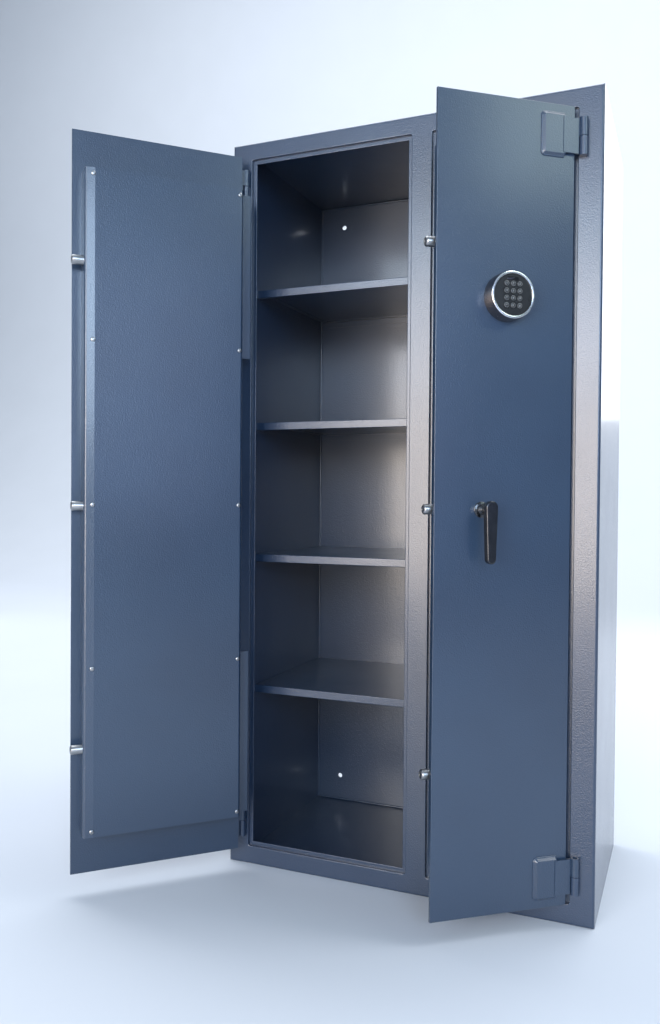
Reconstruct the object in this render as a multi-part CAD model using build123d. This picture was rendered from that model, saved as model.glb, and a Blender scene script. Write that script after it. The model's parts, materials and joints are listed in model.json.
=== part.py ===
from build123d import *
import os
from math import atan2, cos, degrees, radians, sin

os.makedirs("parts", exist_ok=True)

# Cabinet, in mm. +Z is up, the front faces -Y, and the origin is the centre of the base.
WIDTH = 740.0
HEIGHT = 1500.0
DEPTH = 420.0
FRONT_Y = -DEPTH / 2
SIDE_WALL = 25.0            # folded double-skin side panels
FLAT_WALL = 10.0            # top and bottom panels
BACK_WALL = 4.0
SKIN = 2.5                  # each skin of a double-skin panel
FRAME_T = 7.0               # folded front frame, front to back
FRAME_EDGE_R = 5.0
OPENING_CORNER_R = 4.0
OPENING_EDGE_R = 1.5
STOP_EDGE_R = 1.2
STILE = 44.0
TOP_RAIL = 35.0
BOTTOM_RAIL = 38.0
MULLION = 40.0
LEFT_OPENING = 343.5
LIP = 8.0                   # door stop that shows inside each opening
LIP_SEAT = 10.0             # hidden part of the stop, behind the frame
LIP_T = 3.0
PARTITION_T = 3.0
ANCHOR_X = 285.0
ANCHOR_Z = (70.0, 1440.0)
ANCHOR_R = 5.5

# Shelves of the left compartment, and the fittings of the right one
SHELF_T = 1.5
SHELF_FIRST_Z = 363.0
SHELF_PITCH = 282.3
SHELF_COUNT = 4
SHELF_SETBACK = 60.0
SHELF_FLANGE = 16.0
SHELF_GAP = 1.0
SHELF_NOSE_R = 1.2
REST = 15.0                 # legs of the shelf rest angles
REST_INSET = 20.0
RACK_Z = 1050.0
RACK_DEPTH = 150.0
RACK_T = 3.0
RACK_FLANGE = 25.0
RACK_SLOTS = 4
RACK_SLOT_R = 19.0

# Doors. s runs from the hinge-side edge of the plate to its free edge, n from the outer
# face inwards. Both are measured on the closed door.
DOOR_T = 6.0
DOOR_GAP = 3.0
PLATE_EDGE_R = 1.0
PIVOT_X = 336.0
PIVOT_N = -8.0
REST_ANGLE = {"left": 133.4, "right": 39.2}
BOX_N = 50.0                # inner face of the cover
BOX_BOTTOM = 123.0
BOX_TOP = 1380.0
BOX_HINGE_S = 11.0
BOX_FREE_E = {"left": 17.5, "right": 14.0}
SHEET = 1.5
COVER_BEND_R = 5.0
STRIP_W = 18.5              # sloped strip along the cover's free side
STRIP_DROP = 3.0
BOLT_HOLE_PLAY = 0.6
GUIDE_PLAY = 0.4
SCREW_HOLE_PLAY = 0.3
SCREW_FIT = 0.02
CUT = 1.0                   # how far a cutting shape runs past what it cuts
RAIL_T = 3.0
RAIL_FLANGE = 20.0
SCREW_IN_FREE = 15.5
SCREW_IN_HINGE = 7.0
SCREW_ROWS = 5
SCREW_END = 11.0
SCREW_R = 2.0
SCREW_HEAD_R = 4.2
SCREW_HEAD_H = 2.4
SCREW_LENGTH = 8.0

# Hinges
KNUCKLE_R = 7.5
PIN_R = 4.0
PIN_FIT = 0.06
HINGE_Z = (94.0, 1408.0)
KNUCKLE_H = 33.0
KNUCKLE_SPLIT = 0.5
LEAF_S = (18.0, 65.0)
LEAF_H = 74.0
LEAF_T = 6.0
LEAF_CHAMFER = 4.0
LEAF_CORNER_R = 6.0
STRAP_H = 62.0
STRAP_OFF = 1.0
STRAP_CLEAR = 1.0           # between the strap and the lower knuckle
DEAD_BAR_H = 328.0
DEAD_BAR_Z = (126.0, 1048.0)
DEAD_BAR_N = (26.0, 32.0)
DEAD_BAR_S = (-10.0, 6.8, 10.8)

# Boltwork, by distance e from the free edge of the plate
BOLT_R = 9.0
BOLT_Z = (288.0, 749.0, 1210.0)
BOLT_N = 30.0
BOLT_PROTRUSION = 22.0
BOLT_INNER_E = 62.0
BOLT_CHAMFER = 2.5
BAR_E = (45.0, 75.0)
BAR_T = 5.0
BAR_OVERRUN = 40.0
LEVER_E = 88.5
HANDLE_Z = 749.0
THROW = 22.0
HANDLE_TURN = 60.0
CRANK_N = (12.0, 18.0)
CRANK_PIN_R = 4.0
CRANK_W = 14.0
SLOT_PLAY = 0.5
SLOT_END = 1.0              # clearance past the pin at each end of the crank's slot
TAB_MARGIN = 8.0
LUG_Z = (1232.0, 1250.0)    # at the top end of the bar
LUG_E = 99.5
LOCK_BOLT_E = (100.5, 116.5)
LOCK_BOLT_N = (24.0, 36.0)
LOCK_BOLT_Z = (1252.0, 1292.0)
LOCK_CASE_E = (98.5, 158.5)
LOCK_CASE_N = (12.0, 40.0)
LOCK_CASE_Z = (1266.0, 1351.0)
LOCK_PLAY = 0.4
LOCK_CASE_R = 3.0
LOCK_FOOT = 6.0             # how far the case's foot is set in from its outline
LOCK_BOLT_R = 1.0

# Lever, rose and spindle
SPINDLE_R = 6.0
SPINDLE_HOLE_R = 6.5
LEVER_N = (-42.0, -30.0)
LEVER_TOP_Z = 764.3
LEVER_BOTTOM_Z = 657.5
LEVER_R = (11.0, 8.0)
LEVER_FILLET = 2.5
SOCKET_DEPTH = 5.0
SOCKET_END = 0.5            # clearance past the shaft's end in the socket
SOCKET_FIT = 0.02           # radial clearance of the shaft in the socket
ROSE_R = (14.0, 9.5)
ROSE_H = 22.0

# Keypad
KEYPAD_Z = 1116.0
KEYPAD_R = 42.0
KEYPAD_FRONT_R = 40.5
KEYPAD_N = -29.0
KEYPAD_POCKET_N = -20.0
KEYPAD_POCKET_R = 35.3
KEYPAD_STRAIGHT = 16.0      # height of the housing's straight side
KEYPAD_SHOULDER = 1.0       # where its taper meets the bezel
KEYPAD_BEZEL_OUT = 2.0
KEYPAD_BEZEL_IN = (1.2, 2.5)
FACE_R = 35.0
FACE_N = -25.0
KEY_R = 4.8
KEY_GAP = 0.4
KEY_EDGE_R = 0.8
KEY_N = (-26.6, -21.4)
KEY_PITCH = 12.4
KEY_TOP_ROW = 19.0
KEY_ROWS = 4
KEY_COLUMNS = 3
WINDOW = (22.0, 6.0, 0.8)
WINDOW_Z = 27.5

# Positions that follow from the sizes above
SIDES = {"left": -1.0, "right": 1.0}
OPENING_X = {
    "left": (-WIDTH / 2 + STILE, -WIDTH / 2 + STILE + LEFT_OPENING),
    "right": (-WIDTH / 2 + STILE + LEFT_OPENING + MULLION, WIDTH / 2 - STILE),
}
OPENING_Z = (BOTTOM_RAIL, HEIGHT - TOP_RAIL)
PARTITION_X = OPENING_X["left"][1] + MULLION / 2
INNER_X = WIDTH / 2 - SIDE_WALL
INNER_BACK = DEPTH - BACK_WALL
DOOR_W = {side: OPENING_X[side][1] - OPENING_X[side][0] - 2 * DOOR_GAP for side in SIDES}
DOOR_Z = (OPENING_Z[0] + DOOR_GAP, OPENING_Z[1] - DOOR_GAP)
HINGE_EDGE_X = WIDTH / 2 - STILE - DOOR_GAP


def save(name, *solids):
    """Write one named piece, which may be a group of identical solids."""
    shape = solids[0] if len(solids) == 1 else Compound(children=list(solids))
    export_step(shape, os.path.join("parts", name + ".step"))


def block(xs, ys, zs):
    """Box between two x, two depths behind the front plane and two heights."""
    size = (abs(xs[1] - xs[0]), ys[1] - ys[0], zs[1] - zs[0])
    middle = (sum(xs) / 2, FRONT_Y + sum(ys) / 2, sum(zs) / 2)
    return Pos(*middle) * Box(*size)


def rod_y(x, z, ys, radius):
    """Round rod that runs front to back."""
    return Pos(x, FRONT_Y + sum(ys) / 2, z) * Rot(90, 0, 0) * Cylinder(radius, ys[1] - ys[0])


def rod_x(xs, y, z, radius):
    """Round rod that runs across the cabinet."""
    middle = Pos(sum(xs) / 2, FRONT_Y + y, z)
    return middle * Rot(0, 90, 0) * Cylinder(radius, abs(xs[1] - xs[0]))


def rod_z(x, y, zs, radius):
    """Upright round rod."""
    return Pos(x, FRONT_Y + y, sum(zs) / 2) * Cylinder(radius, zs[1] - zs[0])


def door_x(side, s):
    """x of a distance from the hinge-side edge of a closed door plate."""
    return SIDES[side] * (HINGE_EDGE_X - s)


def door_block(side, ss, ns, zs):
    return block((door_x(side, ss[0]), door_x(side, ss[1])), ns, zs)


def swing(side, shape):
    """Turn a closed door's piece about the hinge to the angle at which the door stands."""
    pivot = Pos(SIDES[side] * PIVOT_X, FRONT_Y + PIVOT_N, 0)
    return pivot * Rot(0, 0, SIDES[side] * REST_ANGLE[side]) * pivot.inverse() * shape


def save_on_door(name, side, *solids):
    save(name, *[swing(side, solid) for solid in solids])


# Cabinet ---------------------------------------------------------------------------------

def front_frame():
    frame = block((-WIDTH / 2, WIDTH / 2), (0, FRAME_T), (0, HEIGHT))
    for side in SIDES:
        frame -= block(OPENING_X[side], (-CUT, FRAME_T + CUT), OPENING_Z)
    front = frame.faces().sort_by(Axis.Y)[0]
    corners = [vertex for wire in front.inner_wires() for vertex in wire.vertices()]
    upright = frame.edges().filter_by(Axis.Y)
    frame = fillet([upright.sort_by_distance(corner)[0] for corner in corners], OPENING_CORNER_R)
    front = frame.faces().sort_by(Axis.Y)[0]
    frame = fillet(front.outer_wire().edges(), FRAME_EDGE_R)
    front = frame.faces().sort_by(Axis.Y)[0]
    inner = [edge for wire in front.inner_wires() for edge in wire.edges()]
    return fillet(inner, OPENING_EDGE_R)


def door_stop(side):
    xs, zs = OPENING_X[side], OPENING_Z
    ys = (FRAME_T, FRAME_T + LIP_T)
    outer = block((xs[0] - LIP_SEAT, xs[1] + LIP_SEAT), ys, (zs[0] - LIP_SEAT, zs[1] + LIP_SEAT))
    window = block((xs[0] + LIP, xs[1] - LIP), (0, 2 * FRAME_T), (zs[0] + LIP, zs[1] - LIP))
    stop = outer - window
    front = stop.faces().sort_by(Axis.Y)[0]
    return fillet(front.inner_wires()[0].edges(), STOP_EDGE_R)


def back_panel():
    back = block((-WIDTH / 2, WIDTH / 2), (INNER_BACK, DEPTH), (0, HEIGHT))
    for x in (-ANCHOR_X, ANCHOR_X):
        for z in ANCHOR_Z:
            back -= rod_y(x, z, (INNER_BACK - CUT, DEPTH + CUT), ANCHOR_R)
    return back


def shelf(top_z):
    xs = (-INNER_X + SHELF_GAP, PARTITION_X - PARTITION_T / 2 - SHELF_GAP)
    front = SHELF_SETBACK
    deck = block(xs, (front, INNER_BACK - SHELF_GAP), (top_z - SHELF_T, top_z))
    flange = block(xs, (front, front + SHELF_T), (top_z - SHELF_FLANGE, top_z))
    fold = (top_z - SHELF_FLANGE, top_z - SHELF_FLANGE + SHELF_T)
    tray = deck + flange + block(xs, (front, front + SHELF_FLANGE / 2), fold)
    nose = tray.edges().filter_by(Axis.X).sort_by(Axis.Y)[:2]
    return fillet(nose, SHELF_NOSE_R)


def shelf_rests(top_z):
    """Three angles that carry one shelf: both sides and the back."""
    top = top_z - SHELF_T
    zs, leg = (top - REST, top), (top - SHELF_T, top)
    ys = (SHELF_SETBACK + REST_INSET, INNER_BACK - REST_INSET)
    left, right = -INNER_X, PARTITION_X - PARTITION_T / 2
    rests = []
    for wall, inward in ((left, 1), (right, -1)):
        angle = block((wall, wall + inward * SHELF_T), ys, zs)
        rests.append(angle + block((wall, wall + inward * REST), ys, leg))
    xs = (left + REST_INSET, right - REST_INSET)
    angle = block(xs, (INNER_BACK - SHELF_T, INNER_BACK), zs)
    rests.append(angle + block(xs, (INNER_BACK - REST, INNER_BACK), leg))
    return rests


def barrel_rack():
    """Notched steel ledge that keeps long guns upright in the right compartment."""
    xs = (PARTITION_X + PARTITION_T / 2 + SHELF_GAP, INNER_X - SHELF_GAP)
    front = INNER_BACK - RACK_DEPTH
    rack = block(xs, (front, INNER_BACK), (RACK_Z - RACK_T, RACK_Z))
    rack += block(xs, (INNER_BACK - RACK_T, INNER_BACK), (RACK_Z - RACK_FLANGE, RACK_Z))
    pitch = (xs[1] - xs[0]) / RACK_SLOTS
    for index in range(RACK_SLOTS):
        x = xs[0] + (index + 0.5) * pitch
        zs = (RACK_Z - 2 * RACK_T, RACK_Z + RACK_T)
        centre = front + 2 * RACK_SLOT_R
        rack -= rod_z(x, centre, zs, RACK_SLOT_R)
        rack -= block((x - RACK_SLOT_R, x + RACK_SLOT_R), (front - CUT, centre), zs)
    return rack


def frame_knuckle(side, middle_z):
    """Lower half of a lift-off hinge, welded to the frame, with its upright pin."""
    x = SIDES[side] * PIVOT_X
    zs = (middle_z - KNUCKLE_H, middle_z - KNUCKLE_SPLIT)
    weld = KNUCKLE_R - LEAF_CHAMFER / 2
    barrel = rod_z(x, PIVOT_N, zs, KNUCKLE_R) + block((x - weld, x + weld), (PIVOT_N, 0), zs)
    pin = rod_z(x, PIVOT_N, (zs[0], middle_z + KNUCKLE_H - LEAF_CHAMFER), PIN_R)
    return barrel + pin


def side_panel(side, depths, walls):
    """Upright double-skin panel, hollow between its skins and capped by the flat panels."""
    xs = (SIDES[side] * INNER_X, SIDES[side] * WIDTH / 2)
    hollow_xs = (SIDES[side] * (INNER_X + SKIN), SIDES[side] * (WIDTH / 2 - SKIN))
    hollow = block(hollow_xs, (depths[0] + SKIN, depths[1] - SKIN),
                   (walls[0] - CUT, walls[1] + CUT))
    return block(xs, depths, walls) - hollow


def flat_panel(depths, zs):
    """Top or bottom double-skin panel, closed by the frame and the back."""
    panel = block((-WIDTH / 2, WIDTH / 2), depths, zs)
    return panel - block((-WIDTH / 2 + SKIN, WIDTH / 2 - SKIN), (depths[0] - CUT, depths[1] + CUT),
                         (zs[0] + SKIN, zs[1] - SKIN))


def make_cabinet():
    walls = (FLAT_WALL, HEIGHT - FLAT_WALL)
    depths = (FRAME_T, INNER_BACK)
    save("front_frame", front_frame())
    save("top_panel", flat_panel(depths, (walls[1], HEIGHT)))
    save("bottom_panel", flat_panel(depths, (0, walls[0])))
    save("back_panel", back_panel())
    edges = (PARTITION_X - PARTITION_T / 2, PARTITION_X + PARTITION_T / 2)
    save("partition", block(edges, depths, walls))
    rests = []
    for index in range(SHELF_COUNT):
        top_z = SHELF_FIRST_Z + index * SHELF_PITCH
        save("shelf_%d" % (index + 1), shelf(top_z))
        rests += shelf_rests(top_z)
    save("shelf_rests", *rests)
    save("barrel_rack", barrel_rack())
    for side in SIDES:
        save("side_panel_" + side, side_panel(side, depths, walls))
        save("door_stop_" + side, door_stop(side))
        save("frame_knuckles_" + side, *[frame_knuckle(side, z) for z in HINGE_Z])


# Doors -----------------------------------------------------------------------------------

def door_plate(side):
    plate = door_block(side, (0, DOOR_W[side]), (0, DOOR_T), DOOR_Z)
    plate = fillet(plate.faces().sort_by(Axis.Y)[0].edges(), PLATE_EDGE_R)
    x = door_x(side, DOOR_W[side] - LEVER_E)
    return plate - rod_y(x, HANDLE_Z, (-CUT, DOOR_T + CUT), SPINDLE_HOLE_R)


def cover_span(side):
    return BOX_HINGE_S, DOOR_W[side] - BOX_FREE_E[side]


def under_cover(side, inset, floor_n, zs):
    """Solid that fills the cover's section from a depth up to its surface, less an inset."""
    s0, s1 = cover_span(side)
    bend_n = BOX_N - STRIP_DROP * (STRIP_W - inset) / STRIP_W - inset
    section = [(s0 + inset, floor_n), (s0 + inset, BOX_N - inset), (s1 - STRIP_W, BOX_N - inset),
               (s1 - inset, bend_n), (s1 - inset, floor_n)]
    outline = Polyline([(door_x(side, s), FRONT_Y + n) for s, n in section], close=True)
    prism = extrude(make_face(outline), amount=zs[1] - zs[0], dir=(0, 0, 1))
    return Pos(0, 0, zs[0]) * prism


def rounded_rim(side, prism, radius):
    """Round the long edges where the cover's sides meet its face."""
    rims = prism.edges().filter_by(Axis.Z).sort_by(Axis.Y)[2:]
    crease = rims.sort_by_distance((door_x(side, cover_span(side)[1] - STRIP_W), FRONT_Y + BOX_N,
                                    (BOX_BOTTOM + BOX_TOP) / 2))[0]
    return fillet([edge for edge in rims if edge != crease], radius)


def screw_rows():
    step = (BOX_TOP - BOX_BOTTOM - 2 * SCREW_END) / (SCREW_ROWS - 1)
    return [BOX_BOTTOM + SCREW_END + row * step for row in range(SCREW_ROWS)]


def on_screws(side, free_side, ns, radius):
    """Rods along one column of screws, square to the cover's surface there.

    The depths are counted from the cover's surface, positive towards the screw's head.
    """
    s0, s1 = cover_span(side)
    lean = degrees(atan2(STRIP_DROP, STRIP_W)) if free_side else 0
    s = s1 - SCREW_IN_FREE if free_side else s0 + SCREW_IN_HINGE
    seat = BOX_N - (STRIP_DROP * (STRIP_W - SCREW_IN_FREE) / STRIP_W if free_side else 0)
    rod = Pos(0, sum(ns) / 2, 0) * Rot(90, 0, 0) * Cylinder(radius, ns[1] - ns[0])
    turn = Rot(0, 0, SIDES[side] * lean)
    return [Pos(door_x(side, s), FRONT_Y + seat, z) * turn * rod for z in screw_rows()]


def door_cover(side):
    """Folded sheet pan over the boltwork, open towards the plate."""
    s1 = cover_span(side)[1]
    pan = rounded_rim(side, under_cover(side, 0, DOOR_T, (BOX_BOTTOM, BOX_TOP)), COVER_BEND_R)
    inside = under_cover(side, SHEET, DOOR_T - CUT, (BOX_BOTTOM + SHEET, BOX_TOP - SHEET))
    pan -= rounded_rim(side, inside, COVER_BEND_R - SHEET)
    for z in BOLT_Z:
        span = (door_x(side, s1 - 2 * SHEET), door_x(side, s1 + CUT))
        pan -= rod_x(span, BOLT_N, z, BOLT_R + BOLT_HOLE_PLAY)
    for free_side in (False, True):
        for hole in on_screws(side, free_side, (-2 * SHEET, CUT), SCREW_R + SCREW_HOLE_PLAY):
            pan -= hole
    return pan


def cover_rail(side, free_side):
    """Channel inside the cover that takes its screws and, on the free side, guides the bolts."""
    s0, s1 = cover_span(side)
    zs = (BOX_BOTTOM + COVER_BEND_R + SHEET, BOX_TOP - COVER_BEND_R - SHEET)
    rail = rounded_rim(side, under_cover(side, SHEET, DOOR_T, zs), COVER_BEND_R - SHEET)
    past = (zs[0] - CUT, zs[1] + CUT)
    rail -= under_cover(side, SHEET + RAIL_T, DOOR_T + RAIL_T, past)
    web, inward = (s1 - SHEET, -1) if free_side else (s0 + SHEET, 1)
    rest = (web + inward * RAIL_FLANGE, s0 - CUT if free_side else s1 + CUT)
    rail -= door_block(side, rest, (0, BOX_N + CUT), past)
    if free_side:
        for z in BOLT_Z:
            span = (door_x(side, web + CUT), door_x(side, web - RAIL_T - CUT))
            rail -= rod_x(span, BOLT_N, z, BOLT_R + GUIDE_PLAY)
    for hole in on_screws(side, free_side, (-SHEET - 2 * RAIL_T, 0), SCREW_R + SCREW_FIT):
        rail -= hole
    return rail


def cover_screws(side):
    screws = []
    for free_side in (False, True):
        shanks = on_screws(side, free_side, (-SCREW_LENGTH, 0), SCREW_R)
        heads = on_screws(side, free_side, (0, SCREW_HEAD_H), SCREW_HEAD_R)
        screws += [shank + head for shank, head in zip(shanks, heads)]
    return screws


def hinge_leaf(side, middle_z):
    """Welded leaf, the strap that clears the frame, and the upper knuckle."""
    ss = LEAF_S
    zs = (middle_z - LEAF_H / 2, middle_z + LEAF_H / 2)
    pad = door_block(side, ss, (-LEAF_T, 0), zs)
    pad = fillet(pad.edges().filter_by(Axis.Y), LEAF_CORNER_R)
    pad = chamfer(pad.faces().sort_by(Axis.Y)[0].edges(), LEAF_CHAMFER)
    axis_s = HINGE_EDGE_X - PIVOT_X
    near = axis_s + KNUCKLE_R + STRAP_CLEAR
    ns = (-LEAF_T - STRAP_OFF, -STRAP_OFF)
    strap = door_block(side, (near, ss[0] + 2 * LEAF_CHAMFER), ns,
                       (middle_z - STRAP_H / 2, middle_z + STRAP_H / 2))
    upper = (middle_z + KNUCKLE_SPLIT, middle_z + STRAP_H / 2)
    strap += door_block(side, (axis_s, near + CUT), ns, upper)
    x = SIDES[side] * PIVOT_X
    barrel = rod_z(x, PIVOT_N, (middle_z + KNUCKLE_SPLIT, middle_z + KNUCKLE_H), KNUCKLE_R)
    bore = rod_z(x, PIVOT_N, (middle_z, middle_z + KNUCKLE_H + CUT), PIN_R + PIN_FIT)
    return pad + strap + barrel - bore


def dead_bar(side, foot_z):
    """Fixed angle on the hinge side that hooks behind the frame when the door is shut."""
    tip, inner, outer = DEAD_BAR_S
    zs = (foot_z, foot_z + DEAD_BAR_H)
    leg = door_block(side, (inner, outer), (DOOR_T, DEAD_BAR_N[1]), zs)
    return leg + door_block(side, (tip, outer), DEAD_BAR_N, zs)


def bolt(side, z):
    """Round locking bolt with a chamfered nose, thrown."""
    s0, s1 = cover_span(side)
    inner = DOOR_W[side] - BOLT_INNER_E
    rod = rod_x((door_x(side, inner), door_x(side, s1 + BOLT_PROTRUSION)), BOLT_N, z, BOLT_R)
    nose = rod.faces().sort_by(Axis.X)[0 if side == "right" else -1]
    return chamfer(nose.edges(), BOLT_CHAMFER)


def crank_pin_place(side):
    """Pin of the crank with the bolts thrown, as s and height."""
    radius = THROW / (2 * sin(radians(HANDLE_TURN / 2)))
    lever_s = DOOR_W[side] - LEVER_E
    return lever_s + THROW / 2, HANDLE_Z + radius * cos(radians(HANDLE_TURN / 2)), radius


def bolt_bar(side):
    """Upright bar that joins the bolts, with the crank's slot and the lug the lock blocks."""
    w = DOOR_W[side]
    ns = (BOLT_N - BAR_T / 2, BOLT_N + BAR_T / 2)
    zs = (BOLT_Z[0] - BAR_OVERRUN, BOLT_Z[-1] + BAR_OVERRUN)
    bar = door_block(side, (w - BAR_E[1], w - BAR_E[0]), ns, zs)
    pin_s, pin_z, radius = crank_pin_place(side)
    rise = radius - (pin_z - HANDLE_Z)
    low = pin_z - CRANK_PIN_R - SLOT_END
    high = pin_z + rise + CRANK_PIN_R + SLOT_END
    bar += door_block(side, (pin_s - CRANK_PIN_R - TAB_MARGIN, w - BAR_E[0] - CUT), ns,
                      (low - TAB_MARGIN, high + TAB_MARGIN))
    bar += door_block(side, (w - LUG_E, w - BAR_E[0] - CUT), ns, LUG_Z)
    half = CRANK_PIN_R + SLOT_PLAY
    bar -= door_block(side, (pin_s - half, pin_s + half), (ns[0] - CUT, ns[1] + CUT),
                      (low, high))
    for z in BOLT_Z:
        hole = (door_x(side, w - BOLT_INNER_E), door_x(side, w - BAR_E[0] + CUT))
        bar -= rod_x(hole, BOLT_N, z, BOLT_R)
    return bar


def spindle(side):
    """Handle shaft with its crank arm and drive pin behind the plate."""
    x = door_x(side, DOOR_W[side] - LEVER_E)
    pin_s, pin_z, radius = crank_pin_place(side)
    shaft = rod_y(x, HANDLE_Z, (LEVER_N[1] - SOCKET_DEPTH + SOCKET_END, CRANK_N[1]), SPINDLE_R)
    mid = FRONT_Y + sum(CRANK_N) / 2
    arm = Pos(x, mid, HANDLE_Z + radius / 2) * Box(CRANK_W, CRANK_N[1] - CRANK_N[0], radius)
    lean = SIDES[side] * -HANDLE_TURN / 2
    about = Pos(x, 0, HANDLE_Z)
    arm = about * Rot(0, lean, 0) * about.inverse() * arm
    hub = rod_y(x, HANDLE_Z, CRANK_N, CRANK_W / 2)
    end = rod_y(door_x(side, pin_s), pin_z, CRANK_N, CRANK_W / 2)
    pin = rod_y(door_x(side, pin_s), pin_z, (CRANK_N[0], BOLT_N + BAR_T), CRANK_PIN_R)
    return shaft + arm + hub + end + pin


def lever(side):
    """Flat tapered lever that points down while the bolts are thrown."""
    x = door_x(side, DOOR_W[side] - LEVER_E)
    top = Pos(x, LEVER_TOP_Z - LEVER_R[0]) * Circle(LEVER_R[0])
    tip = Pos(x, LEVER_BOTTOM_Z + LEVER_R[1]) * Circle(LEVER_R[1])
    outline = make_hull((top + tip).edges())
    plane = Plane((0, FRONT_Y + LEVER_N[1], 0), x_dir=(1, 0, 0), z_dir=(0, -1, 0))
    blade = extrude(plane * outline, amount=LEVER_N[1] - LEVER_N[0])
    blade = fillet(blade.faces().sort_by(Axis.Y)[0].edges(), LEVER_FILLET)
    socket = (LEVER_N[1] - SOCKET_DEPTH, LEVER_N[1] + CUT)
    return blade - rod_y(x, HANDLE_Z, socket, SPINDLE_R + SOCKET_FIT)


def rose(side):
    x = door_x(side, DOOR_W[side] - LEVER_E)
    cone = Cone(ROSE_R[0], ROSE_R[1], ROSE_H)
    cone = Pos(x, FRONT_Y - ROSE_H / 2, HANDLE_Z) * Rot(90, 0, 0) * cone
    return cone - rod_y(x, HANDLE_Z, (-ROSE_H - CUT, CUT), SPINDLE_HOLE_R)


def lock_case(side):
    w = DOOR_W[side]
    case = door_block(side, (w - LOCK_CASE_E[1], w - LOCK_CASE_E[0]), LOCK_CASE_N, LOCK_CASE_Z)
    case = fillet(case.edges().filter_by(Axis.Y), LOCK_CASE_R)
    foot_s = (w - LOCK_CASE_E[1] + LOCK_FOOT, w - LOCK_CASE_E[0] - LOCK_FOOT)
    case += door_block(side, foot_s, (DOOR_T, LOCK_CASE_N[0] + CUT),
                       (LOCK_CASE_Z[0] + LOCK_FOOT, LOCK_CASE_Z[1] - LOCK_FOOT))
    pocket = (w - LOCK_BOLT_E[1] - LOCK_PLAY, w - LOCK_BOLT_E[0] + LOCK_PLAY)
    depth = (LOCK_BOLT_N[0] - LOCK_PLAY, LOCK_BOLT_N[1] + LOCK_PLAY)
    return case - door_block(side, pocket, depth, (LOCK_CASE_Z[0] - CUT, LOCK_BOLT_Z[1] + CUT))


def lock_bolt(side):
    """Small bolt of the electronic lock, withdrawn; it drops into the lug's path to lock."""
    w = DOOR_W[side]
    body = door_block(side, (w - LOCK_BOLT_E[1], w - LOCK_BOLT_E[0]), LOCK_BOLT_N, LOCK_BOLT_Z)
    return fillet(body.faces().sort_by(Axis.Z)[0].edges(), LOCK_BOLT_R)


def keypad_x(side):
    return door_x(side, DOOR_W[side] / 2)


def keypad_housing(side):
    """Round metal housing, turned about its own axis."""
    top = -KEYPAD_N
    points = [(0, 0), (KEYPAD_R, 0), (KEYPAD_R, KEYPAD_STRAIGHT),
              (KEYPAD_FRONT_R, top - KEYPAD_SHOULDER), (KEYPAD_FRONT_R - KEYPAD_BEZEL_OUT, top),
              (KEYPAD_POCKET_R + KEYPAD_BEZEL_IN[0], top),
              (KEYPAD_POCKET_R, top - KEYPAD_BEZEL_IN[1]), (KEYPAD_POCKET_R, -KEYPAD_POCKET_N),
              (0, -KEYPAD_POCKET_N)]
    profile = Plane.XZ * make_face(Polyline(points + [points[0]]).edges())
    body = revolve(profile, Axis.Z)
    return Pos(keypad_x(side), FRONT_Y, KEYPAD_Z) * Rot(90, 0, 0) * body


def key_places(side):
    for row in range(KEY_ROWS):
        for column in range(KEY_COLUMNS):
            x = keypad_x(side) + (column - (KEY_COLUMNS - 1) / 2) * KEY_PITCH
            yield x, KEYPAD_Z + KEY_TOP_ROW - row * KEY_PITCH


def keypad_face(side):
    face = rod_y(keypad_x(side), KEYPAD_Z, (FACE_N, KEYPAD_POCKET_N), FACE_R)
    for x, z in key_places(side):
        face -= rod_y(x, z, (FACE_N - CUT, KEYPAD_POCKET_N + CUT), KEY_R + KEY_GAP)
    x, z = keypad_x(side), KEYPAD_Z + WINDOW_Z
    return face - block((x - WINDOW[0] / 2, x + WINDOW[0] / 2), (FACE_N - CUT, FACE_N + WINDOW[2]),
                        (z - WINDOW[1] / 2, z + WINDOW[1] / 2))


def keys(side):
    out = []
    for x, z in key_places(side):
        cap = rod_y(x, z, KEY_N, KEY_R)
        out.append(fillet(cap.faces().sort_by(Axis.Y)[0].edges(), KEY_EDGE_R))
    return out


def make_door(side):
    save_on_door(side + "_door_plate", side, door_plate(side))
    save_on_door(side + "_door_cover", side, door_cover(side))
    save_on_door(side + "_cover_rails", side, cover_rail(side, False), cover_rail(side, True))
    save_on_door(side + "_cover_screws", side, *cover_screws(side))
    save_on_door(side + "_hinge_leaves", side, *[hinge_leaf(side, z) for z in HINGE_Z])
    save_on_door(side + "_dead_bars", side, *[dead_bar(side, z) for z in DEAD_BAR_Z])
    save_on_door(side + "_bolts", side, *[bolt(side, z) for z in BOLT_Z])
    save_on_door(side + "_bolt_bar", side, bolt_bar(side))
    save_on_door(side + "_spindle", side, spindle(side))
    save_on_door(side + "_lever", side, lever(side))
    save_on_door(side + "_handle_rose", side, rose(side))
    save_on_door(side + "_lock_case", side, lock_case(side))
    save_on_door(side + "_lock_bolt", side, lock_bolt(side))
    save_on_door(side + "_keypad_housing", side, keypad_housing(side))
    save_on_door(side + "_keypad_face", side, keypad_face(side))


make_cabinet()
for door in SIDES:
    make_door(door)
for number, cap in enumerate(keys("right"), start=1):
    save_on_door("right_key_%02d" % number, "right", cap)
save_on_door("left_key_mat", "left", *keys("left"))
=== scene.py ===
import json
import math

import bmesh
import bpy
from mathutils import Matrix, Vector


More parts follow.
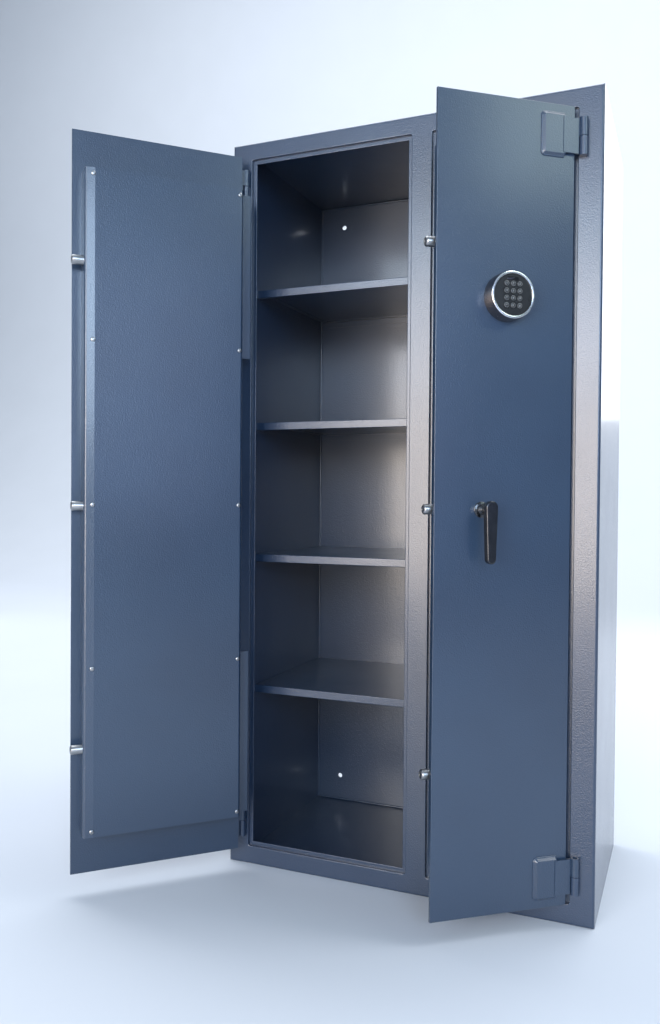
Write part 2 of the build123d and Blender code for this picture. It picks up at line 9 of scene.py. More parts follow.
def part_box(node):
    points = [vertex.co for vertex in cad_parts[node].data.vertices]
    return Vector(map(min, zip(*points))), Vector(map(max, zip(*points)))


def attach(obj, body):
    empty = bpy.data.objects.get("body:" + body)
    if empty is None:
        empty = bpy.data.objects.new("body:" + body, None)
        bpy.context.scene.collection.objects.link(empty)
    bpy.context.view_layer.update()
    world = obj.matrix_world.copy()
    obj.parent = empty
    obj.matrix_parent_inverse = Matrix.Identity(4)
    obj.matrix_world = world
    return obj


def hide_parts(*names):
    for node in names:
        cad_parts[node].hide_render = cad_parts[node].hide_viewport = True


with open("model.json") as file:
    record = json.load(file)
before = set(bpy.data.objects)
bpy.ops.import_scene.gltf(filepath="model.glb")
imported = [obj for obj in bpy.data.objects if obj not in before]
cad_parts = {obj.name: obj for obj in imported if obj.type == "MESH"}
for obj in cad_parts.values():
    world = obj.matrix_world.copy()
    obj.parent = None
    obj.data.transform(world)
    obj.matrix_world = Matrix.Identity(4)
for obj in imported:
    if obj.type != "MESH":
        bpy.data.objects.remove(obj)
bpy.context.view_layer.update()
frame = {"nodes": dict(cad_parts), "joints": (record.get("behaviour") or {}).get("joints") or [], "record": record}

MM, MERGE = 0.001, 1e-6
SIDES = {"left": -1.0, "right": 1.0}
NODES = frame["nodes"]
SLOTS = {row["node"]: row["material_slot"] for row in frame["record"]["subparts"]}
HINGES = {side: next(joint for joint in frame["joints"] if joint["name"] == side + "_door_hinge")
          for side in SIDES}

# Camera: where the viewer stands in metres, which way they look in degrees, and the lens in mm
EYE = Vector((0.5200, -1.8206, 0.7676))
YAW, PITCH, ROLL = 23.153, 0.970, 0.429
LENS, SENSOR = 30.614, 36.0
SHIFT = (0.0102, 0.0005)

# Stage, in metres
FLOOR_NEAR, FLOOR_HALF_WIDTH, WALL_TOP = -20.0, 30.0, 14.0
SWEEP_Y, SWEEP_R, SWEEP_STEPS = 4.0, 5.0, 24
FLOOR_COLOUR = (0.52, 0.55, 0.60)
SKY_COLOUR, SKY_STRENGTH = (0.60, 0.78, 1.0, 1.0), 0.32

# Details in mm that a node's box doesn't give, or gives only roughly because its round parts are
# faceted. Pairs are steps of a turned outline, across its radius and along its axis, measured
# from one corner of it.
STRIP_W, STRIP_DROP = 18.5, 3.0
SCREW_IN_HINGE, SCREW_IN_FREE, SCREW_END, SCREW_ROWS = 7.0, 15.5, 11.0, 5
HEAD_R, HEAD_H, HEAD_RIM, HEAD_SUNK, HEAD_SEGMENTS = 4.2, 2.4, 0.5, 0.2, 32
HEAD_DOME = ((0.93, 0.62), (0.72, 0.88), (0.45, 1.0))   # shares of the head's radius and height
RECESS_STEPS = ((1.15, 0), (0.95, -1.1), (0, -1.3))
SLOT_START, SLOT_STOP, SLOT_HALF_START, SLOT_HALF_STOP = 0.9, 2.1, 0.32, 0.22
SLOT_PROUD, SLOT_DEPTH = 0.03, 0.6
BOLT_R, BOLT_CHAMFER, BOLT_SEGMENTS = 9.0, 0.4, 72
BOLT_NOSE = ((0, -2.5), (-0.15, -2.2), (-2.3, -0.15), (-2.6, 0))
BOLT_MARK = ((4.2, 0), (3.9, -0.35), (1.3, -0.35), (0, -1.1))
LEAF_H, LEAF_CORNER, CORNER_STEPS = 74.0, 6.0, 8
WELD_START, WELD_R, WELD_STEP, WELD_RIPPLE = 22.0, 2.3, 1.2, 0.22
SEAM_R, SEAM_INSET, SEAM_GAP, SEAM_STEP, SEAM_RIPPLE = 2.4, 0.8, 2.0, 3.0, 0.15
BEAD_SIDES, BEAD_ANGLE, RIPPLE_FAST, RIPPLE_SLOW = 10, 60.0, 2.4, 0.37
DIGITS, KEY_COLUMNS, KEY_ROWS = "123456789*0#", 3, 4
DIGIT_SIZE, DIGIT_PROUD = 4.8, 0.10
KEY_R, KEY_FRONT, KEY_BACK, KEY_SEGMENTS = 4.8, -2.6, 2.6, 40
KEY_DOME = ((0, 0.9), (-0.25, 0.35), (-0.7, 0.05))
KEY_RING = ((-0.95, 0.04), (-0.92, -0.06), (-0.70, -0.05), (-0.66, 0.10), (-0.95, 0.04))
SHELL_R, SHELL_STRAIGHT, SHELL_FRONT_R, SHELL_SEGMENTS, SHELL_ANGLE = 42.0, 16.0, 40.5, 128, 25.0
SHELL_BACK = ((-0.4, 0), (0, -0.4))
SHELL_WAIST = ((0, 0), (-0.3, -1.2))
POCKET_R, POCKET_DEPTH = 35.3, 9.0
BEZEL_OUTER = ((0, 1.6), (-0.2, 0.7), (-0.9, 0.15), (-2.0, 0))
BEZEL_INNER = ((1.6, 0), (0.9, 0.3), (0, 2.5))
WINDOW_W, WINDOW_H, WINDOW_T, WINDOW_MARGIN, WINDOW_STEPS = 22.0, 6.0, 0.8, 0.2, 12
WINDOW_RISE = 0.7857                                    # share of the face's radius
WINDOW_EDGE, WINDOW_PROUD, WINDOW_TAPER = 0.15, 0.1, 0.94
FLANGE_T = 3.5
ROSE_PROFILE = [(14.0, 0), (14.0, -1.2), (13.3, -1.8), (8.8, -2.5), (7.9, -4.0), (7.9, -17.0),
                (9.1, -20.4), (9.5, -21.0), (9.5, -22.0), (6.5, -22.0), (6.5, 0), (14.0, 0)]


# Places, from the frame ------------------------------------------------------------------

def door_turn(side):
    """Matrix from the closed door's place to where the door stands at rest."""
    hinge = HINGES[side]
    pivot = Matrix.Translation(Vector(hinge["pos_m"]))
    angle = -SIDES[side] * math.radians(hinge["range_deg"][0])
    return pivot @ Matrix.Rotation(angle, 4, "Z") @ pivot.inverted()


def closed_box(side, part):
    """Box in mm of a door's node with the door closed, its x counted towards the hinge side."""
    back = Matrix.Diagonal((SIDES[side], 1, 1, 1)) @ door_turn(side).inverted()
    spots = [back @ vertex.co / MM for vertex in NODES[side + "_" + part].data.vertices]
    low, high = ([pick(values) for values in zip(*spots)] for pick in (min, max))
    return Vector(low), Vector(high)


PLATES = {side: closed_box(side, "door_plate") for side in SIDES}


def span(side, part):
    """Start and end in mm of a door's node along s, n and z: from the plate's hinge-side edge,
    from its outer face inwards, and up."""
    outer, hinge_edge = PLATES[side][0].y, PLATES[side][1].x
    low, high = closed_box(side, part)
    return (hinge_edge - high.x, hinge_edge - low.x), (low.y - outer, high.y - outer), (low.z, high.z)


def on_door(side, s, n, z):
    """Matrix to a point of the door at rest. Its -Y is square out of the door's outer face."""
    low, high = PLATES[side]
    return door_turn(side) @ Matrix.Translation(Vector((SIDES[side] * (high.x - s), low.y + n, z)) * MM)


def centre_of(side, node):
    """Matrix to the middle of a node on a door, turned with the door."""
    low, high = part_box(node)
    return Matrix.Translation((low + high) / 2) @ door_turn(side).to_quaternion().to_matrix().to_4x4()


# Materials -------------------------------------------------------------------------------

def new_material(name):
    """Empty principled material, as material, node tree and shader."""
    material = bpy.data.materials.new(name)
    material.use_nodes = True
    tree = material.node_tree
    return material, tree, tree.nodes["Principled BSDF"]


def add_node(tree, kind, **values):
    """Shader node with its inputs set by name."""
    node = tree.nodes.new(kind)
    for key, value in values.items():
        node.inputs[key.replace("_", " ")].default_value = value
    return node


def noise(tree, coordinates, scale, detail=2.0, rough=0.5):
    """Noise factor from 0 to 1."""
    node = add_node(tree, "ShaderNodeTexNoise", Scale=scale, Detail=detail, Roughness=rough)
    tree.links.new(coordinates, node.inputs["Vector"])
    return node.outputs["Fac"]


def ramp(tree, factor, *stops):
    """Colour ramp with stops given as (position, colour)."""
    node = tree.nodes.new("ShaderNodeValToRGB")
    elements = node.color_ramp.elements
    while len(elements) < len(stops):
        elements.new(0.5)
    for element, (position, colour) in zip(elements, stops):
        element.position, element.color = position, (*colour, 1.0)
    tree.links.new(factor, node.inputs["Fac"])
    return node.outputs["Color"]


def spread(tree, factor, low, high):
    """Map a 0 to 1 factor to a range of numbers."""
    node = add_node(tree, "ShaderNodeMapRange", To_Min=low, To_Max=high)
    tree.links.new(factor, node.inputs["Value"])
    return node.outputs["Result"]


def bump(tree, shader, height, distance, strength=1.0):
    """Bump on a shader, laid over any bump that it already has."""
    node = add_node(tree, "ShaderNodeBump", Strength=strength, Distance=distance)
    tree.links.new(height, node.inputs["Height"])
    if shader.inputs["Normal"].is_linked:
        tree.links.new(shader.inputs["Normal"].links[0].from_socket, node.inputs["Normal"])
    tree.links.new(node.outputs["Normal"], shader.inputs["Normal"])


def object_space(tree):
    """Coordinates that stay with the object."""
    return tree.nodes.new("ShaderNodeTexCoord").outputs["Object"]


def powder_coat(name, dark, light, gloss=(0.30, 0.40)):
    """Semi-gloss powder coat: orange peel, fine grain and a slow drift of tone."""
    material, tree, shader = new_material(name)
    place = object_space(tree)
    drift = noise(tree, place, 3.0, 3.0)
    tree.links.new(ramp(tree, drift, (0.35, dark), (0.65, light)), shader.inputs["Base Color"])
    tree.links.new(spread(tree, noise(tree, place, 9.0, 3.0), *gloss), shader.inputs["Roughness"])
    shader.inputs["Specular IOR Level"].default_value = 0.6
    shader.inputs["Coat Weight"].default_value = 0.75
    shader.inputs["Coat Roughness"].default_value = 0.20
    bump(tree, shader, noise(tree, place, 430.0, 1.5), 0.00080, 0.80)
    bump(tree, shader, noise(tree, place, 1300.0, 1.0), 0.00012, 0.45)
    return material


def turned_steel(name, dark, light, roughness=(0.22, 0.38)):
    """Bare or plated metal with a fine grain."""
    material, tree, shader = new_material(name)
    place = object_space(tree)
    tone = ramp(tree, noise(tree, place, 60.0, 4.0), (0.3, dark), (0.7, light))
    tree.links.new(tone, shader.inputs["Base Color"])
    shader.inputs["Metallic"].default_value = 1.0
    tree.links.new(spread(tree, noise(tree, place, 160.0, 3.0), *roughness),
                   shader.inputs["Roughness"])
    bump(tree, shader, noise(tree, place, 2200.0, 2.0), 0.00003, 0.5)
    return material


def moulded(name, dark, light, roughness, grain=0.00005):
    """Moulded plastic or rubber with a fine spark-eroded grain."""
    material, tree, shader = new_material(name)
    place = object_space(tree)
    tone = ramp(tree, noise(tree, place, 35.0, 3.0), (0.3, dark), (0.7, light))
    tree.links.new(tone, shader.inputs["Base Color"])
    tree.links.new(spread(tree, noise(tree, place, 240.0, 2.0), *roughness),
                   shader.inputs["Roughness"])
    bump(tree, shader, noise(tree, place, 3200.0, 2.0), grain, 0.5)
    return material


MATERIALS = {
    "cabinet_paint": powder_coat("cabinet_paint", (0.011, 0.025, 0.056), (0.015, 0.033, 0.070)),
    "door_paint": powder_coat("door_paint", (0.009, 0.024, 0.054), (0.013, 0.032, 0.067)),
    "zinc_steel": turned_steel("zinc_steel", (0.27, 0.28, 0.29), (0.38, 0.38, 0.39), (0.26, 0.40)),
    "lever_metal": turned_steel("lever_metal", (0.050, 0.052, 0.058), (0.080, 0.082, 0.088), (0.20, 0.28)),
    "keypad_metal": turned_steel("keypad_metal", (0.20, 0.18, 0.18), (0.27, 0.25, 0.25), (0.20, 0.30)),
    "lock_alloy": turned_steel("lock_alloy", (0.45, 0.45, 0.46), (0.56, 0.56, 0.57), (0.35, 0.5)),
    "keypad_plastic": moulded("keypad_plastic", (0.010, 0.011, 0.012), (0.018, 0.019, 0.020),
                              (0.16, 0.24)),
    "key_rubber": moulded("key_rubber", (0.014, 0.015, 0.016), (0.024, 0.025, 0.026), (0.35, 0.5)),
}
BRIGHT = turned_steel("bezel_chrome", (0.60, 0.60, 0.60), (0.68, 0.68, 0.68), (0.18, 0.24))
# Lighter copy of the lever metal for the neck's shaft and flare: a painted highlight
NECK_PAINTED_HIGHLIGHT = turned_steel("neck_painted_highlight_steel", (0.42, 0.43, 0.44), (0.54, 0.54, 0.55), (0.20, 0.30))
PRINT = moulded("key_print", (0.22, 0.23, 0.24), (0.30, 0.31, 0.32), (0.4, 0.5))
# Dark gloss of the LED window, also laid in the screws' cross recesses as painted shade
LED_WINDOW_AND_RECESS_SHADE = moulded("led_window", (0.004, 0.004, 0.005), (0.008, 0.008, 0.010), (0.05, 0.09))


def dress_cad_nodes():
    """Give every CAD node the finish of its material slot."""
    for name, node in NODES.items():
        for slot in node.material_slots:
            slot.material = MATERIALS[SLOTS[name]]


# Detailed pieces -------------------------------------------------------------------------

def lathe(bm, place, profile, segments=64, material=0):
    """Turn (radius, y) points in mm about the local Y axis into a skin of one material."""
    rings = []
    for radius, y in profile:
        if radius == 0:
            rings.append([bm.verts.new(place @ Vector((0, y * MM, 0)))])
            continue
        turns = [2 * math.pi * i / segments for i in range(segments)]
        rings.append([bm.verts.new(place @ (Vector((radius * math.cos(t), y, radius * math.sin(t))) * MM))
                      for t in turns])
    for low, high in zip(rings, rings[1:]):
        for i in range(segments):
            j = (i + 1) % segments
            corners = [low[i % len(low)], low[j % len(low)], high[j % len(high)], high[i % len(high)]]
            unique = list(dict.fromkeys(corners))
            bm.faces.new(unique).material_index = material


def piece(name, bm, body, materials, replaced=(), smooth_angle=35.0):
    """Object from a bmesh that rides on a body, takes a slot's finish and stands for CAD nodes."""
    bmesh.ops.recalc_face_normals(bm, faces=bm.faces)
    mesh = bpy.data.meshes.new(name)
    bm.to_mesh(mesh)
    bm.free()
    for polygon in mesh.polygons:
        polygon.use_smooth = True
    mesh.set_sharp_from_angle(angle=math.radians(smooth_angle))
    for material in materials:
        mesh.materials.append(material)
    made = bpy.data.objects.new(name, mesh)
    bpy.context.scene.collection.objects.link(made)
    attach(made, body)
    if replaced:
        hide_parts(*replaced)
    return made


def add_digit(bm, place, letter, material):
    """Raised character, read from outside the door."""
    curve = bpy.data.curves.new("digit", "FONT")
    curve.body, curve.size, curve.extrude = letter, DIGIT_SIZE * MM, DIGIT_PROUD * MM
    curve.align_x, curve.align_y = "CENTER", "CENTER"
    text = bpy.data.objects.new("digit", curve)
    bpy.context.scene.collection.objects.link(text)
    mesh = bpy.data.meshes.new_from_object(text.evaluated_get(bpy.context.evaluated_depsgraph_get()))
    upright = Matrix.Rotation(math.pi / 2, 4, "X")
    mesh.transform(place @ Matrix.Translation((0, KEY_FRONT * MM, 0)) @ upright)
    known = len(bm.faces)
    bm.from_mesh(mesh)
    bm.faces.ensure_lookup_table()
    for face in bm.faces[known:]:
        face.material_index = material
    bpy.data.objects.remove(text)
    bpy.data.curves.remove(curve)
    bpy.data.meshes.remove(mesh)


def stepped(radius, y, steps):
    """Outline points at steps across and along from one corner, in mm."""
    return [(radius + across, y + along) for across, along in steps]


def add_key(bm, place, letter):
    """Domed key with a printed ring near its rim and a raised character."""
    cap = [(0, KEY_BACK), (KEY_R, KEY_BACK)] + stepped(KEY_R, KEY_FRONT, KEY_DOME) + [(0, KEY_FRONT)]
    lathe(bm, place, cap, KEY_SEGMENTS)
    lathe(bm, place, stepped(KEY_R, KEY_FRONT, KEY_RING), KEY_SEGMENTS, 1)
    add_digit(bm, place, letter, 1)


def make_keys():
    """Twelve separate keys on the right door, and the left door's twelve in one piece."""
    materials = [MATERIALS["key_rubber"], PRINT]
    for number, letter in enumerate(DIGITS, start=1):
        node = "right_key_%02d" % number
        bm = bmesh.new()
        add_key(bm, centre_of("right", node), letter)
        piece("key_cap_%02d" % number, bm, node, materials, [node])
    # The left keypad's keys are one node, so their pitch is measured on its box
    low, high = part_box("left_key_mat")
    middle = centre_of("left", "left_key_mat")
    pitch = ((high.z - low.z) / MM - 2 * KEY_R) / (KEY_ROWS - 1)
    bm = bmesh.new()
    for index, letter in enumerate(DIGITS):
        row, column = divmod(index, KEY_COLUMNS)
        across, up = column - (KEY_COLUMNS - 1) / 2, (KEY_ROWS - 1) / 2 - row
        add_key(bm, middle @ Matrix.Translation(Vector((across, 0, up)) * pitch * MM), letter)
    piece("left_key_caps", bm, "left_door", materials, ["left_key_mat"])


def make_shell(side):
    """Turned keypad housing with a polished bezel round the pocket that the face lies in."""
    node = side + "_keypad_housing"
    place = centre_of(side, node)
    depth_start, depth_end = span(side, "keypad_housing")[1]
    back = (depth_end - depth_start) / 2
    front = -back
    floor = front + POCKET_DEPTH
    bezel = stepped(SHELL_FRONT_R, front, BEZEL_OUTER) + stepped(POCKET_R, front, BEZEL_INNER)
    wall = stepped(SHELL_R, back, SHELL_BACK) + stepped(SHELL_R, back - SHELL_STRAIGHT, SHELL_WAIST)
    bm = bmesh.new()
    lathe(bm, place, [(0, back)] + wall + bezel[:1], SHELL_SEGMENTS)
    lathe(bm, place, bezel, SHELL_SEGMENTS, 1)
    lathe(bm, place, bezel[-1:] + [(POCKET_R, floor), (0, floor)], SHELL_SEGMENTS)
    bmesh.ops.remove_doubles(bm, verts=bm.verts, dist=MERGE)
    piece(side + "_keypad_shell", bm, side + "_door",
          [MATERIALS["keypad_metal"], BRIGHT], [node], SHELL_ANGLE)


def make_window(side):
    """Glossy dark window with round ends, on the keypad's face above the keys."""
    node = side + "_keypad_face"
    place = centre_of(side, node)
    depth, height = span(side, "keypad_face")[1:]
    front = (depth[0] - depth[1]) / 2
    rise = WINDOW_RISE * (height[1] - height[0]) / 2
    corner = WINDOW_H / 2 - WINDOW_MARGIN
    outline = []
    for end in (1, -1):
        for step in range(WINDOW_STEPS + 1):
            turn = math.pi * step / WINDOW_STEPS - math.pi / 2
            reach = (WINDOW_W - WINDOW_H) / 2 + corner * math.cos(turn)
            outline.append((end * reach, end * corner * math.sin(turn)))
    bm = bmesh.new()
    layers = []
    levels = ((front + WINDOW_T, 1.0), (front + WINDOW_EDGE, 1.0), (front - WINDOW_PROUD, WINDOW_TAPER))
    for y, size in levels:
        spots = [Vector((x * size, y, rise + z * size)) * MM for x, z in outline]
        layers.append([bm.verts.new(place @ spot) for spot in spots])
    for low, high in zip(layers, layers[1:]):
        for i in range(len(outline)):
            j = (i + 1) % len(outline)
            bm.faces.new([low[i], low[j], high[j], high[i]])
    bm.faces.new(layers[0])
    bm.faces.new(layers[-1])
    piece(side + "_led_window", bm, side + "_door", [LED_WINDOW_AND_RECESS_SHADE])


def make_rose(side):
    """Turned neck between plate and lever: a thin flange, a slim shaft and a flare, the shaft and flare lighter
    than the lever as a painted highlight.
    """
    across, _, height = span(side, "handle_rose")
    place = on_door(side, sum(across) / 2, 0, sum(height) / 2)
    bm = bmesh.new()
    lathe(bm, place, ROSE_PROFILE)
    bmesh.ops.remove_doubles(bm, verts=bm.verts, dist=MERGE)
    to_local = place.inverted()
    # Only the flange keeps the lever metal; the shaft and flare carry the painted highlight
    for face in bm.faces:
        if (to_local @ face.calc_center_median()).y > -FLANGE_T * MM:
            face.material_index = 1
    piece(side + "_turned_neck", bm, side + "_door",
          [NECK_PAINTED_HIGHLIGHT, MATERIALS["lever_metal"]], [side + "_handle_rose"])


def add_slot(bm, place):
    """Arm of a screw's cross recess, filled with near-black gloss as painted shade."""
    corners = [(SLOT_START, -SLOT_HALF_START), (SLOT_STOP, -SLOT_HALF_STOP),
               (SLOT_STOP, SLOT_HALF_STOP), (SLOT_START, SLOT_HALF_START)]
    top, low = ([bm.verts.new(place @ (Vector((x, y, z)) * MM)) for x, z in corners]
                for y in (HEAD_H + SLOT_PROUD, HEAD_H - SLOT_DEPTH))
    faces = [bm.faces.new(top), bm.faces.new(low)]
    for i in range(len(corners)):
        j = (i + 1) % len(corners)
        faces.append(bm.faces.new([top[i], top[j], low[j], low[i]]))
    for face in faces:
        face.material_index = 1


def make_screws(side):
    """Pan-head screws with a cross recess, square to the cover's surface under each."""
    (near, far), (_, flat), (bottom, top) = span(side, "door_cover")
    lean = math.atan2(STRIP_DROP, STRIP_W)
    lower = flat - STRIP_DROP * (STRIP_W - SCREW_IN_FREE) / STRIP_W
    pitch = (top - bottom - 2 * SCREW_END) / (SCREW_ROWS - 1)
    head = [(0, -HEAD_SUNK), (HEAD_R, -HEAD_SUNK), (HEAD_R, HEAD_RIM)]
    head += [(HEAD_R * radius, HEAD_H * height) for radius, height in HEAD_DOME]
    head += stepped(0, HEAD_H, RECESS_STEPS)
    bm = bmesh.new()
    for s, n, tilt in ((near + SCREW_IN_HINGE, flat, 0.0), (far - SCREW_IN_FREE, lower, lean)):
        for row in range(SCREW_ROWS):
            place = on_door(side, s, n, bottom + SCREW_END + row * pitch)
            place = place @ Matrix.Rotation(SIDES[side] * tilt, 4, "Z")
            lathe(bm, place, head, HEAD_SEGMENTS)
            for quarter in range(4):
                add_slot(bm, place @ Matrix.Rotation(quarter * math.pi / 2, 4, "Y"))
    # The second finish paints shade into the cross recesses
    piece(side + "_screw_heads", bm, side + "_door", [MATERIALS["zinc_steel"], LED_WINDOW_AND_RECESS_SHADE],
          [side + "_cover_screws"])


def make_bolts(side):
    """Turned bolts with a chamfered nose, a shallow step and a centre mark."""
    (root, tip), depth, (bottom, top) = span(side, "bolts")
    length = tip - root
    bolt = [(0, 0), (BOLT_R - BOLT_CHAMFER, 0), (BOLT_R, BOLT_CHAMFER)]
    bolt += stepped(BOLT_R, length, BOLT_NOSE) + stepped(0, length, BOLT_MARK)
    bm = bmesh.new()
    for z in (bottom + BOLT_R, (bottom + top) / 2, top - BOLT_R):
        place = on_door(side, root, sum(depth) / 2, z)
        lathe(bm, place @ Matrix.Rotation(SIDES[side] * math.pi / 2, 4, "Z"), bolt, BOLT_SEGMENTS)
    piece(side + "_turned_bolts", bm, side + "_boltwork", [MATERIALS["zinc_steel"]],
          [side + "_bolts"])


def weld_path(far):
    """Points along three sides of a leaf, as (s, z), with its rounded corners."""
    half, turn_s, turn_z = LEAF_H / 2, far - LEAF_CORNER, LEAF_H / 2 - LEAF_CORNER
    points = [(WELD_START, half), (turn_s, half)]
    for step in range(1, CORNER_STEPS + 1):
        turn = math.pi / 2 * (1 - step / CORNER_STEPS)
        points.append((turn_s + LEAF_CORNER * math.cos(turn), turn_z + LEAF_CORNER * math.sin(turn)))
    return points + [(s, -z) for s, z in reversed(points)]


def even_points(points, step):
    """The same path with points about one step apart."""
    out = []
    for (s0, z0), (s1, z1) in zip(points, points[1:]):
        count = max(1, round(math.hypot(s1 - s0, z1 - z0) / step))
        out += [(s0 + (s1 - s0) * i / count, z0 + (z1 - z0) * i / count) for i in range(count)]
    return out + [points[-1]]


def add_bead(bm, path, up, radius, ripple):
    """Round bead along a path of points in metres, with a slight ripple like a weld's."""
    rings = []
    for index, spot in enumerate(path):
        before, after = path[max(index - 1, 0)], path[min(index + 1, len(path) - 1)]
        out = (after - before).cross(up).normalized()
        wave = math.sin(index * RIPPLE_FAST) + math.sin(index * RIPPLE_SLOW) / 2
        here = (radius + ripple * wave) * MM
        turns = [2 * math.pi * k / BEAD_SIDES for k in range(BEAD_SIDES)]
        rings.append([bm.verts.new(spot + here * (out * math.cos(t) + up * math.sin(t)))
                      for t in turns])
    for low, high in zip(rings, rings[1:]):
        for k in range(BEAD_SIDES):
            j = (k + 1) % BEAD_SIDES
            bm.faces.new([low[k], low[j], high[j], high[k]])
    bm.faces.new(rings[0])
    bm.faces.new(rings[-1])


def make_welds(side):
    """Rippled weld bead round each hinge leaf, painted over with the door."""
    (_, far), _, (bottom, top) = span(side, "hinge_leaves")
    path = even_points(weld_path(far), WELD_STEP)
    up = on_door(side, 0, 0, 0).to_3x3() @ Vector((0, 1, 0))
    bm = bmesh.new()
    for middle in (bottom + LEAF_H / 2, top - LEAF_H / 2):
        spots = [on_door(side, s, 0, middle + z).translation for s, z in path]
        add_bead(bm, spots, up, WELD_R, WELD_RIPPLE)
    piece(side + "_leaf_welds", bm, side + "_door", [MATERIALS["door_paint"]], (),
          BEAD_ANGLE)


def make_seams():
    """Painted weld seams in the inside corners at the back of both compartments."""
    partition = [corner.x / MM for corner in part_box("partition")]
    bays = ((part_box("side_panel_left")[1].x / MM, partition[0]),
            (partition[1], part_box("side_panel_right")[0].x / MM))
    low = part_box("bottom_panel")[1].z / MM + SEAM_GAP
    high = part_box("top_panel")[0].z / MM - SEAM_GAP
    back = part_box("back_panel")[0].y / MM - SEAM_INSET
    bm = bmesh.new()
    for start, stop in bays:
        left, right = start + SEAM_INSET, stop - SEAM_INSET
        corners = ((left, low, left, high), (right, low, right, high),
                   (left, low, right, low), (left, high, right, high))
        for x0, z0, x1, z1 in corners:
            first, last = (Vector((x, back, z)) * MM for x, z in ((x0, z0), (x1, z1)))
            count = round((last - first).length / MM / SEAM_STEP)
            spots = [first.lerp(last, i / count) for i in range(count + 1)]
            add_bead(bm, spots, Vector((0, 1, 0)), SEAM_R, SEAM_RIPPLE)
    piece("corner_seams", bm, "cabinet", [MATERIALS["cabinet_paint"]], (), BEAD_ANGLE)


# Stage -----------------------------------------------------------------------------------

def backdrop(colour, name, noise_scale):
    """Matt material with a faint drift of tone."""
    material, tree, shader = new_material(name)
    tone = ramp(tree, noise(tree, object_space(tree), noise_scale), (0.3, colour),
                (0.7, tuple(value * 1.02 for value in colour)))
    tree.links.new(tone, shader.inputs["Base Color"])
    shader.inputs["Roughness"].default_value = 0.75
    return material


def make_floor():
    """Pale floor that sweeps up into a wall far behind the cabinet, with no visible corner."""
    profile = [(FLOOR_NEAR, 0.0), (SWEEP_Y, 0.0)]
    for step in range(1, SWEEP_STEPS + 1):
        turn = math.pi / 2 * step / SWEEP_STEPS
        profile.append((SWEEP_Y + SWEEP_R * math.sin(turn), SWEEP_R * (1 - math.cos(turn))))
    profile.append((SWEEP_Y + SWEEP_R, WALL_TOP))
    bm = bmesh.new()
    rows = [[bm.verts.new((x, y, z)) for x in (-FLOOR_HALF_WIDTH, FLOOR_HALF_WIDTH)] for y, z in profile]
    for low, high in zip(rows, rows[1:]):
        bm.faces.new([low[0], low[1], high[1], high[0]])
    mesh = bpy.data.meshes.new("floor")
    bm.to_mesh(mesh)
    bm.free()
    for polygon in mesh.polygons:
        polygon.use_smooth = True
    floor = bpy.data.objects.new("floor", mesh)
    bpy.context.scene.collection.objects.link(floor)
    mesh.materials.append(backdrop(FLOOR_COLOUR, "pale_floor", 2.0))


def area_light(name, place, target, size, energy, colour):
    """Rectangular lamp that faces its target. Sizes are in metres and energy in watts."""
    data = bpy.data.lights.new(name, "AREA")
    data.shape, data.size, data.size_y = "RECTANGLE", *size
    data.energy, data.color = energy, colour
    light = bpy.data.objects.new(name, data)
    light.location = place
    light.rotation_euler = (Vector(target) - Vector(place)).to_track_quat("-Z", "Y").to_euler()
    bpy.context.scene.collection.objects.link(light)


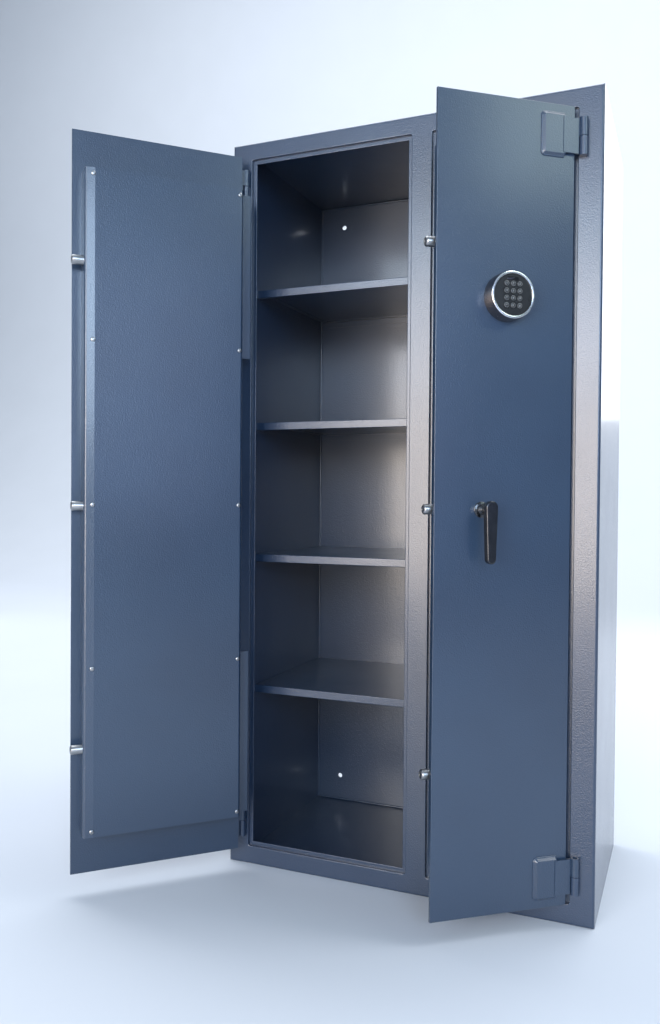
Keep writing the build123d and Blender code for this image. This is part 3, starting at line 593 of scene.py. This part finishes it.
def make_lights():
    """Soft boxes behind the camera, low ones warm and high ones cool, then lamps at the sides, above,
    behind and on the backdrop."""
    front_y, middle = -4.6, (0.2, -0.2, 0.8)
    for name, x, z, size, radiance, colour in (
            ("front_warm", -0.65, 0.80, (2.5, 1.35), 11.5, (1.0, 0.88, 0.77)),
            ("front_neutral", -0.65, 1.85, (2.5, 0.75), 13.0, (0.94, 0.95, 1.0)),
            ("front_cool", -0.65, 2.50, (2.5, 0.50), 9.5, (0.64, 0.82, 1.0)),
            ("front_high", -0.65, 3.20, (2.5, 0.80), 1.6, (0.64, 0.80, 1.0))):
        area_light(name, (x, front_y, z), (x, 0.0, z), size, radiance * math.pi * size[0] * size[1], colour)
    for name, x, y, z, size, radiance, colour in (
            ("right_blue", 3.9, -3.05, 1.6, (1.3, 2.0), 1.9, (0.50, 0.60, 1.0)),
            ("right_bright", 2.50, -4.50, 2.2, (1.6, 1.8), 14.0, (0.60, 0.78, 1.0))):
        area_light(name, (x, y, z), (-0.5, -0.4, z), size, radiance * math.pi * size[0] * size[1], colour)
    area_light("high_right", (3.0, -1.0, 2.7), (0.33, -0.22, 1.46), (1.1, 0.8), 13.0, (0.80, 1.0, 0.94))
    area_light("back_left", (-4.1, 1.95, 1.1), (-0.57, -0.46, 1.0), (0.9, 2.4), 9.0, (0.80, 0.88, 1.0))
    area_light("overhead", (0.0, -0.6, 4.2), middle, (4.0, 4.0), 26.0, (0.70, 0.84, 1.0))
    area_light("rear", (1.4, 3.0, 2.4), middle, (2.5, 2.5), 45.0, (0.95, 0.97, 1.0))
    area_light("backdrop_wash", (0.0, 1.5, 7.5), (0.0, 7.5, 2.0), (16.0, 5.0), 1500.0, (0.96, 0.98, 1.0))


def make_world():
    """Even bluish light from all round."""
    world = bpy.data.worlds.new("studio")
    world.use_nodes = True
    background = world.node_tree.nodes["Background"]
    background.inputs["Color"].default_value = SKY_COLOUR
    background.inputs["Strength"].default_value = SKY_STRENGTH
    bpy.context.scene.world = world


def make_camera():
    """Camera at the photograph's viewpoint."""
    data = bpy.data.cameras.new("camera")
    data.lens, data.sensor_width = LENS, SENSOR
    data.shift_x, data.shift_y = SHIFT
    camera = bpy.data.objects.new("camera", data)
    heading = Matrix.Rotation(math.radians(YAW), 4, "Z")
    tilt = Matrix.Rotation(math.radians(90 - PITCH), 4, "X")
    roll = Matrix.Rotation(math.radians(ROLL), 4, "Z")
    camera.matrix_world = Matrix.Translation(EYE) @ heading @ tilt @ roll
    bpy.context.scene.collection.objects.link(camera)
    bpy.context.scene.camera = camera


make_camera()
make_world()
make_lights()
make_floor()
dress_cad_nodes()
make_keys()
for door in SIDES:
    make_shell(door)
    make_window(door)
    make_rose(door)
    make_screws(door)
    make_bolts(door)
    make_welds(door)
make_seams()
bpy.context.scene.view_settings.view_transform = "Standard"
